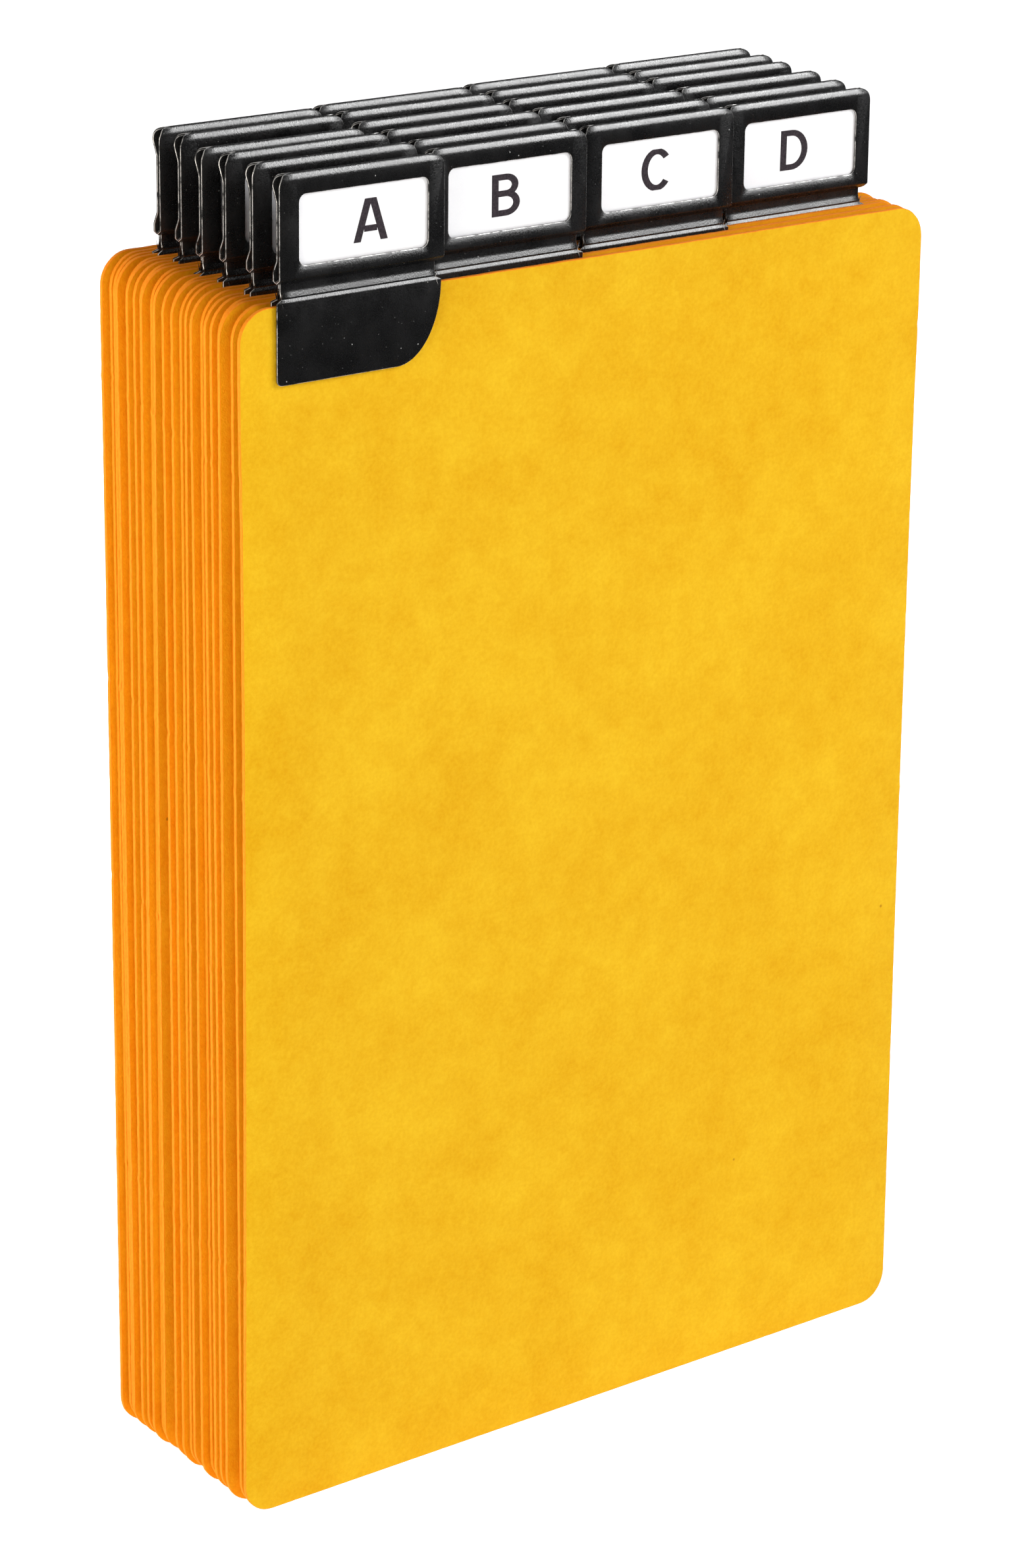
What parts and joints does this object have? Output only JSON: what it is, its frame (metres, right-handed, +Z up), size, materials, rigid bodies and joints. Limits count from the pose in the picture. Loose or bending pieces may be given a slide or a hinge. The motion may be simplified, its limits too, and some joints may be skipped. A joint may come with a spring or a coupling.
{
  "type": "set of alphabetical guide cards",
  "caption": "Upright deck of pressboard index guides for a card file, each with a clipped-on folded metal tab holder and a lettered paper label.",
  "frame": {"origin": "on the surface the deck stands on, midway along the deck's width and depth", "axes": "+Z up; the front guide faces -Y; +X to the right as the letters are read"},
  "size_m": [0.1492, 0.0581, 0.2306],
  "materials": {
    "pressboard": "matt golden-yellow pressboard, faintly mottled, with lighter cut edges",
    "tab_metal": "semi-gloss black baked enamel with a fine grain, worn bright along cut edges",
    "label_paper": null
  },
  "bodies": {
    "guide_a": {"guide_card_a": "pressboard", "tab_holder_a": "tab_metal"},
    "guide_b": {"guide_card_b": "pressboard", "tab_holder_b": "tab_metal"},
    "guide_c": {"guide_card_c": "pressboard", "tab_holder_c": "tab_metal"},
    "guide_d": {"guide_card_d": "pressboard", "tab_holder_d": "tab_metal"},
    "guide_e": {"guide_card_e": "pressboard", "tab_holder_e": "tab_metal"},
    "guide_f": {"guide_card_f": "pressboard", "tab_holder_f": "tab_metal"},
    "guide_g": {"guide_card_g": "pressboard", "tab_holder_g": "tab_metal"},
    "guide_h": {"guide_card_h": "pressboard", "tab_holder_h": "tab_metal"},
    "guide_i": {"guide_card_i": "pressboard", "tab_holder_i": "tab_metal"},
    "guide_j": {"guide_card_j": "pressboard", "tab_holder_j": "tab_metal"},
    "guide_k": {"guide_card_k": "pressboard", "tab_holder_k": "tab_metal"},
    "guide_l": {"guide_card_l": "pressboard", "tab_holder_l": "tab_metal"},
    "guide_m": {"guide_card_m": "pressboard", "tab_holder_m": "tab_metal"},
    "guide_n": {"guide_card_n": "pressboard", "tab_holder_n": "tab_metal"},
    "guide_o": {"guide_card_o": "pressboard", "tab_holder_o": "tab_metal"},
    "guide_p": {"guide_card_p": "pressboard", "tab_holder_p": "tab_metal"},
    "guide_q": {"guide_card_q": "pressboard", "tab_holder_q": "tab_metal"},
    "guide_r": {"guide_card_r": "pressboard", "tab_holder_r": "tab_metal"},
    "guide_s": {"guide_card_s": "pressboard", "tab_holder_s": "tab_metal"},
    "guide_t": {"guide_card_t": "pressboard", "tab_holder_t": "tab_metal"},
    "guide_u": {"guide_card_u": "pressboard", "tab_holder_u": "tab_metal"},
    "guide_v": {"guide_card_v": "pressboard", "tab_holder_v": "tab_metal"},
    "guide_w": {"guide_card_w": "pressboard", "tab_holder_w": "tab_metal"},
    "guide_xyz": {"guide_card_xyz": "pressboard", "tab_holder_xyz": "tab_metal"},
    "label_a": {"label_a": "label_paper"},
    "label_d": {"label_d": "label_paper"},
    "label_e": {"label_e": "label_paper"},
    "label_h": {"label_h": "label_paper"},
    "label_i": {"label_i": "label_paper"},
    "label_l": {"label_l": "label_paper"},
    "label_m": {"label_m": "label_paper"},
    "label_p": {"label_p": "label_paper"},
    "label_q": {"label_q": "label_paper"},
    "label_t": {"label_t": "label_paper"},
    "label_u": {"label_u": "label_paper"},
    "label_xyz": {"label_xyz": "label_paper"}
  },
  "joints": [
    {"name": "tip_a", "type": "hinge", "parent": "guide_xyz", "child": "guide_a", "pos_m": [0, -0.029, 0], "axis": [1, 0, 0], "range_deg": [0, 40]},
    {"name": "tip_b", "type": "hinge", "parent": "guide_xyz", "child": "guide_b", "pos_m": [0, -0.02734, 0], "axis": [1, 0, 0], "range_deg": [0, 38.26]},
    {"name": "tip_c", "type": "hinge", "parent": "guide_xyz", "child": "guide_c", "pos_m": [0, -0.02457, 0], "axis": [1, 0, 0], "range_deg": [0, 36.52]},
    {"name": "tip_d", "type": "hinge", "parent": "guide_xyz", "child": "guide_d", "pos_m": [0, -0.02339, 0], "axis": [1, 0, 0], "range_deg": [0, 34.78]},
    {"name": "tip_e", "type": "hinge", "parent": "guide_xyz", "child": "guide_e", "pos_m": [0, -0.02212, 0], "axis": [1, 0, 0], "range_deg": [0, 33.04]},
    {"name": "tip_f", "type": "hinge", "parent": "guide_xyz", "child": "guide_f", "pos_m": [0, -0.02096, 0], "axis": [1, 0, 0], "range_deg": [0, 31.31]},
    {"name": "tip_g", "type": "hinge", "parent": "guide_xyz", "child": "guide_g", "pos_m": [0, -0.01838, 0], "axis": [1, 0, 0], "range_deg": [0, 29.57]},
    {"name": "tip_h", "type": "hinge", "parent": "guide_xyz", "child": "guide_h", "pos_m": [0, -0.01722, 0], "axis": [1, 0, 0], "range_deg": [0, 27.83]},
    {"name": "tip_i", "type": "hinge", "parent": "guide_xyz", "child": "guide_i", "pos_m": [0, -0.01384, 0], "axis": [1, 0, 0], "range_deg": [0, 26.09]},
    {"name": "tip_j", "type": "hinge", "parent": "guide_xyz", "child": "guide_j", "pos_m": [0, -0.01268, 0], "axis": [1, 0, 0], "range_deg": [0, 24.35]},
    {"name": "tip_k", "type": "hinge", "parent": "guide_xyz", "child": "guide_k", "pos_m": [0, -0.0115, 0], "axis": [1, 0, 0], "range_deg": [0, 22.61]},
    {"name": "tip_l", "type": "hinge", "parent": "guide_xyz", "child": "guide_l", "pos_m": [0, -0.01034, 0], "axis": [1, 0, 0], "range_deg": [0, 20.87]},
    {"name": "tip_m", "type": "hinge", "parent": "guide_xyz", "child": "guide_m", "pos_m": [0, -0.00907, 0], "axis": [1, 0, 0], "range_deg": [0, 19.13]},
    {"name": "tip_n", "type": "hinge", "parent": "guide_xyz", "child": "guide_n", "pos_m": [0, -0.0053, 0], "axis": [1, 0, 0], "range_deg": [0, 17.39]},
    {"name": "tip_o", "type": "hinge", "parent": "guide_xyz", "child": "guide_o", "pos_m": [0, -0.00373, 0], "axis": [1, 0, 0], "range_deg": [0, 15.65]},
    {"name": "tip_p", "type": "hinge", "parent": "guide_xyz", "child": "guide_p", "pos_m": [0, -0.00255, 0], "axis": [1, 0, 0], "range_deg": [0, 13.91]},
    {"name": "tip_q", "type": "hinge", "parent": "guide_xyz", "child": "guide_q", "pos_m": [0, -0.00119, 0], "axis": [1, 0, 0], "range_deg": [0, 12.17]},
    {"name": "tip_r", "type": "hinge", "parent": "guide_xyz", "child": "guide_r", "pos_m": [0, -0.00002, 0], "axis": [1, 0, 0], "range_deg": [0, 10.44]},
    {"name": "tip_s", "type": "hinge", "parent": "guide_xyz", "child": "guide_s", "pos_m": [0, 0.00115, 0], "axis": [1, 0, 0], "range_deg": [0, 8.7]},
    {"name": "tip_t", "type": "hinge", "parent": "guide_xyz", "child": "guide_t", "pos_m": [0, 0.00232, 0], "axis": [1, 0, 0], "range_deg": [0, 6.96]},
    {"name": "tip_u", "type": "hinge", "parent": "guide_xyz", "child": "guide_u", "pos_m": [0, 0.00369, 0], "axis": [1, 0, 0], "range_deg": [0, 5.22]},
    {"name": "tip_v", "type": "hinge", "parent": "guide_xyz", "child": "guide_v", "pos_m": [0, 0.00487, 0], "axis": [1, 0, 0], "range_deg": [0, 3.48]},
    {"name": "tip_w", "type": "hinge", "parent": "guide_xyz", "child": "guide_w", "pos_m": [0, 0.00613, 0], "axis": [1, 0, 0], "range_deg": [0, 1.74]},
    {"name": "slide_label_a", "type": "slide", "parent": "guide_a", "child": "label_a", "axis": [-1, 0, 0], "range_m": [0, 0.03]},
    {"name": "slide_label_d", "type": "slide", "parent": "guide_d", "child": "label_d", "axis": [1, 0, 0], "range_m": [0, 0.03]},
    {"name": "slide_label_e", "type": "slide", "parent": "guide_e", "child": "label_e", "axis": [-1, 0, 0], "range_m": [0, 0.03]},
    {"name": "slide_label_h", "type": "slide", "parent": "guide_h", "child": "label_h", "axis": [1, 0, 0], "range_m": [0, 0.03]},
    {"name": "slide_label_i", "type": "slide", "parent": "guide_i", "child": "label_i", "axis": [-1, 0, 0], "range_m": [0, 0.03]},
    {"name": "slide_label_l", "type": "slide", "parent": "guide_l", "child": "label_l", "axis": [1, 0, 0], "range_m": [0, 0.03]},
    {"name": "slide_label_m", "type": "slide", "parent": "guide_m", "child": "label_m", "axis": [-1, 0, 0], "range_m": [0, 0.03]},
    {"name": "slide_label_p", "type": "slide", "parent": "guide_p", "child": "label_p", "axis": [1, 0, 0], "range_m": [0, 0.03]},
    {"name": "slide_label_q", "type": "slide", "parent": "guide_q", "child": "label_q", "axis": [-1, 0, 0], "range_m": [0, 0.03]},
    {"name": "slide_label_t", "type": "slide", "parent": "guide_t", "child": "label_t", "axis": [1, 0, 0], "range_m": [0, 0.03]},
    {"name": "slide_label_u", "type": "slide", "parent": "guide_u", "child": "label_u", "axis": [-1, 0, 0], "range_m": [0, 0.03]},
    {"name": "slide_label_xyz", "type": "slide", "parent": "guide_xyz", "child": "label_xyz", "axis": [1, 0, 0], "range_m": [0, 0.03]}
  ],
  "couplings": [
    {"joint": "tip_b", "follows": "tip_a", "ratio": 0.95652},
    {"joint": "tip_c", "follows": "tip_a", "ratio": 0.91304},
    {"joint": "tip_d", "follows": "tip_a", "ratio": 0.86957},
    {"joint": "tip_e", "follows": "tip_a", "ratio": 0.82609},
    {"joint": "tip_f", "follows": "tip_a", "ratio": 0.78261},
    {"joint": "tip_g", "follows": "tip_a", "ratio": 0.73913},
    {"joint": "tip_h", "follows": "tip_a", "ratio": 0.69565},
    {"joint": "tip_i", "follows": "tip_a", "ratio": 0.65217},
    {"joint": "tip_j", "follows": "tip_a", "ratio": 0.6087},
    {"joint": "tip_k", "follows": "tip_a", "ratio": 0.56522},
    {"joint": "tip_l", "follows": "tip_a", "ratio": 0.52174},
    {"joint": "tip_m", "follows": "tip_a", "ratio": 0.47826},
    {"joint": "tip_n", "follows": "tip_a", "ratio": 0.43478},
    {"joint": "tip_o", "follows": "tip_a", "ratio": 0.3913},
    {"joint": "tip_p", "follows": "tip_a", "ratio": 0.34783},
    {"joint": "tip_q", "follows": "tip_a", "ratio": 0.30435},
    {"joint": "tip_r", "follows": "tip_a", "ratio": 0.26087},
    {"joint": "tip_s", "follows": "tip_a", "ratio": 0.21739},
    {"joint": "tip_t", "follows": "tip_a", "ratio": 0.17391},
    {"joint": "tip_u", "follows": "tip_a", "ratio": 0.13043},
    {"joint": "tip_v", "follows": "tip_a", "ratio": 0.086957},
    {"joint": "tip_w", "follows": "tip_a", "ratio": 0.043478}
  ]
}
